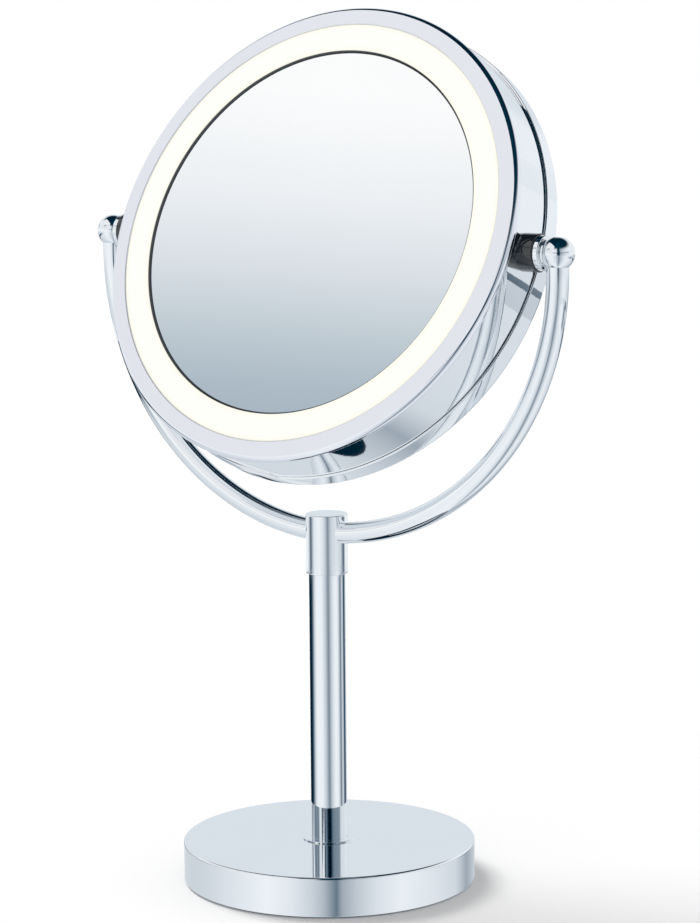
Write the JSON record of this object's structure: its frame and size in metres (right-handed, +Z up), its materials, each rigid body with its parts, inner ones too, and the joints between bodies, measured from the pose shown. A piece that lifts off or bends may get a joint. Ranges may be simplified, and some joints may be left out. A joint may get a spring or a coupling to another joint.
{
  "type": "lit tilting shaving mirror",
  "caption": "Free-standing shaving mirror: round lit head with a flat mirror and a magnifying rear mirror, tilting in a U-shaped yoke on a slim stem and a round weighted base.",
  "frame": {"origin": "centre of the foam pad's face that rests on the table, on the stem's axis", "axes": "+Z up along the stem; the lit mirror faces -Y and leans back 24.7 degrees; the tilting axis runs along X"},
  "size_m": [0.1986, 0.102, 0.3031],
  "materials": {
    "chrome": "bright chrome plating",
    "bezel_chrome": "bright chrome plating on the flat front ring",
    "mirror_glass": "silvered flat glass",
    "magnifier_glass": "silvered concave glass",
    "light_diffuser": "translucent opal, lit warm white from behind",
    "led_white": "lit light-emitting diodes",
    "dark_spacer": "glossy dark grey",
    "black_plastic": "fine satin",
    "grey_plastic": "fine satin",
    "white_nylon": "plain nylon",
    "black_foam": "closed-cell foam",
    "cast_iron": "rough cast, unpainted",
    "zinc_steel": "zinc plated",
    "circuit_board": "green board",
    "battery_wrap": null,
    "nickel_contact": "nickel plated spring brass",
    "red_lead": "insulation",
    "black_lead": "insulation",
    "white_lead": "insulation"
  },
  "bodies": {
    "stand": {"base_shell": "chrome", "base_weight": "cast_iron", "base_plate": "zinc_steel", "base_pad": "black_foam", "base_plate_screws": "zinc_steel", "stem_bolt": "zinc_steel", "stem_washer": "zinc_steel", "stem_foot_disc": "chrome", "stem_tube": "chrome", "stem_lower_insert": "zinc_steel", "swivel_bush": "white_nylon"},
    "yoke": {"yoke_collar": "chrome", "yoke_rod": "chrome", "swivel_pin": "zinc_steel", "swivel_washer": "zinc_steel", "swivel_screw": "zinc_steel", "pivot_ball_left": "chrome", "pivot_ball_right": "chrome", "pivot_ring_left": "chrome", "pivot_ring_right": "chrome", "pivot_screw_left": "zinc_steel", "pivot_screw_right": "zinc_steel", "pivot_washer_left": "zinc_steel", "pivot_washer_right": "zinc_steel"},
    "head": {"drum_shell": "chrome", "pivot_bush_left": "dark_spacer", "pivot_bush_right": "dark_spacer", "front_bezel": "bezel_chrome", "light_ring": "light_diffuser", "front_glass": "mirror_glass", "front_tray": "black_plastic", "led_board": "circuit_board", "led_chips": "led_white", "chassis": "grey_plastic", "chassis_screws": "zinc_steel", "tray_screws": "zinc_steel", "battery_box": "black_plastic", "battery_box_screws": "zinc_steel", "battery_left": "battery_wrap", "battery_middle": "battery_wrap", "battery_right": "battery_wrap", "battery_springs": "nickel_contact", "battery_contacts": "nickel_contact", "switch_board": "circuit_board", "switch_body": "black_plastic", "lead_red": "red_lead", "lead_black": "black_lead", "lead_switched": "white_lead"},
    "rear_mirror": {"rear_bezel": "chrome", "magnifying_glass": "magnifier_glass", "rear_tray": "grey_plastic"},
    "power_button": {"power_button": "chrome", "switch_plunger": "black_plastic"}
  },
  "joints": [
    {"name": "yoke_swivel", "type": "hinge", "parent": "stand", "child": "yoke", "pos_m": [0, 0, 0.11], "axis": [0, 0, 1], "continuous": true},
    {"name": "head_tilt", "type": "hinge", "parent": "yoke", "child": "head", "pos_m": [0, 0, 0.2239], "axis": [1, 0, 0], "continuous": true},
    {"name": "rear_mirror_pull", "type": "slide", "parent": "head", "child": "rear_mirror", "axis": [0, 0.9085, -0.4179], "range_m": [0, 0.012]},
    {"name": "power_button_press", "type": "slide", "parent": "head", "child": "power_button", "axis": [0.7071, -0.2955, -0.6424], "range_m": [0, 0.001], "stiffness_N_per_m": 800, "springref_m": -0.001}
  ]
}
